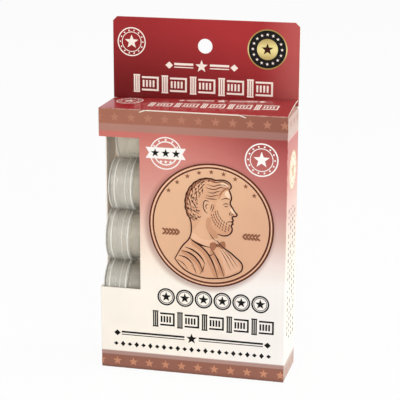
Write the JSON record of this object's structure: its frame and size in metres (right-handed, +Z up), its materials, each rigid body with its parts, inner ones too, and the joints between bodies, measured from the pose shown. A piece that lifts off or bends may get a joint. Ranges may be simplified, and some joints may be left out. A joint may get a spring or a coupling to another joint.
{
  "type": "boxed set of coin tubes",
  "caption": "Windowed hang-tab paperboard carton with tuck ends, holding a stack of clear screw-cap coin tubes.",
  "frame": {"origin": "under the middle of the carton, on the surface it stands on", "axes": "+X to the right of someone facing the printed front, +Y to the back, +Z up"},
  "size_m": [0.0896, 0.0264, 0.167],
  "materials": {
    "printed_board": "gloss coated print",
    "crimson_board": "gloss coated print",
    "plain_board": "uncoated board",
    "tube_plastic": "clear moulded",
    "cap_plastic": "clear moulded"
  },
  "bodies": {
    "carton": {"front_panel": "printed_board", "right_side_panel": "printed_board", "back_panel": "printed_board", "left_side_panel": "printed_board", "glue_flap": "plain_board", "header_front_ply": "crimson_board"},
    "lid": {"lid_panel": "crimson_board"},
    "lid_tuck": {"lid_tuck_flap": "plain_board"},
    "top_left_dust": {"top_left_dust_flap": "plain_board"},
    "top_right_dust": {"top_right_dust_flap": "plain_board"},
    "bottom": {"bottom_panel": "plain_board"},
    "bottom_tuck": {"bottom_tuck_flap": "plain_board"},
    "bottom_left_dust": {"bottom_left_dust_flap": "plain_board"},
    "bottom_right_dust": {"bottom_right_dust_flap": "plain_board"},
    "tube_1": {"tube_1": "tube_plastic"},
    "cap_1": {"cap_1": "cap_plastic"},
    "tube_2": {"tube_2": "tube_plastic"},
    "cap_2": {"cap_2": "cap_plastic"},
    "tube_3": {"tube_3": "tube_plastic"},
    "cap_3": {"cap_3": "cap_plastic"},
    "tube_4": {"tube_4": "tube_plastic"},
    "cap_4": {"cap_4": "cap_plastic"},
    "tube_5": {"tube_5": "tube_plastic"},
    "cap_5": {"cap_5": "cap_plastic"}
  },
  "joints": [
    {"name": "lid_hinge", "type": "hinge", "parent": "carton", "child": "lid", "pos_m": [0, -0.0132, 0.128], "axis": [1, 0, 0], "range_deg": [0, 120]},
    {"name": "lid_tuck_fold", "type": "hinge", "parent": "lid", "child": "lid_tuck", "pos_m": [0, 0.0111, 0.1275], "axis": [-1, 0, 0], "range_deg": [0, 60]},
    {"name": "top_left_dust_fold", "type": "hinge", "parent": "carton", "child": "top_left_dust", "pos_m": [-0.04485, 0, 0.12745], "axis": [0, -1, 0], "range_deg": [0, 66]},
    {"name": "top_right_dust_fold", "type": "hinge", "parent": "carton", "child": "top_right_dust", "pos_m": [0.04485, 0, 0.12745], "axis": [0, 1, 0], "range_deg": [0, 66]},
    {"name": "bottom_hinge", "type": "hinge", "parent": "carton", "child": "bottom", "pos_m": [0, -0.0127, 0], "axis": [-1, 0, 0], "range_deg": [0, 120]},
    {"name": "bottom_tuck_fold", "type": "hinge", "parent": "bottom", "child": "bottom_tuck", "pos_m": [0, 0.0116, 0.0005], "axis": [1, 0, 0], "range_deg": [0, 60]},
    {"name": "bottom_left_dust_fold", "type": "hinge", "parent": "carton", "child": "bottom_left_dust", "pos_m": [-0.04485, 0, 0.00055], "axis": [0, 1, 0], "range_deg": [0, 66]},
    {"name": "bottom_right_dust_fold", "type": "hinge", "parent": "carton", "child": "bottom_right_dust", "pos_m": [0.04485, 0, 0.00055], "axis": [0, -1, 0], "range_deg": [0, 66]},
    {"name": "cap_1_turn", "type": "hinge", "parent": "carton", "child": "cap_1", "pos_m": [0.04172, 0, 0.11315], "axis": [1, 0, 0], "range_deg": [0, 450]},
    {"name": "tube_1_back_off", "type": "slide", "parent": "carton", "child": "tube_1", "axis": [-1, 0, 0], "range_m": [0, 0.00625]},
    {"name": "cap_2_turn", "type": "hinge", "parent": "carton", "child": "cap_2", "pos_m": [-0.04087, 0, 0.08915], "axis": [-1, 0, 0], "range_deg": [0, 360]},
    {"name": "tube_2_back_off", "type": "slide", "parent": "carton", "child": "tube_2", "axis": [1, 0, 0], "range_m": [0, 0.005]},
    {"name": "cap_3_turn", "type": "hinge", "parent": "carton", "child": "cap_3", "pos_m": [-0.04275, 0, 0.064], "axis": [-1, 0, 0], "range_deg": [0, 450]},
    {"name": "tube_3_back_off", "type": "slide", "parent": "carton", "child": "tube_3", "axis": [1, 0, 0], "range_m": [0, 0.00625]},
    {"name": "cap_4_turn", "type": "hinge", "parent": "carton", "child": "cap_4", "pos_m": [-0.04397, 0, 0.03885], "axis": [-1, 0, 0], "range_deg": [0, 450]},
    {"name": "tube_4_back_off", "type": "slide", "parent": "carton", "child": "tube_4", "axis": [1, 0, 0], "range_m": [0, 0.00625]},
    {"name": "cap_5_turn", "type": "hinge", "parent": "carton", "child": "cap_5", "pos_m": [-0.04332, 0, 0.0137], "axis": [-1, 0, 0], "range_deg": [0, 450]},
    {"name": "tube_5_back_off", "type": "slide", "parent": "carton", "child": "tube_5", "axis": [1, 0, 0], "range_m": [0, 0.00625]}
  ],
  "couplings": [
    {"joint": "lid_tuck_fold", "follows": "lid_hinge", "ratio": 0.5},
    {"joint": "top_left_dust_fold", "follows": "lid_hinge", "ratio": 0.55},
    {"joint": "top_right_dust_fold", "follows": "lid_hinge", "ratio": 0.55},
    {"joint": "bottom_tuck_fold", "follows": "bottom_hinge", "ratio": 0.5},
    {"joint": "bottom_left_dust_fold", "follows": "bottom_hinge", "ratio": 0.55},
    {"joint": "bottom_right_dust_fold", "follows": "bottom_hinge", "ratio": 0.55},
    {"joint": "tube_1_back_off", "follows": "cap_1_turn", "m_per_rad": 0.00079577},
    {"joint": "tube_2_back_off", "follows": "cap_2_turn", "m_per_rad": 0.00079577},
    {"joint": "tube_3_back_off", "follows": "cap_3_turn", "m_per_rad": 0.00079577},
    {"joint": "tube_4_back_off", "follows": "cap_4_turn", "m_per_rad": 0.00079577},
    {"joint": "tube_5_back_off", "follows": "cap_5_turn", "m_per_rad": 0.00079577}
  ]
}
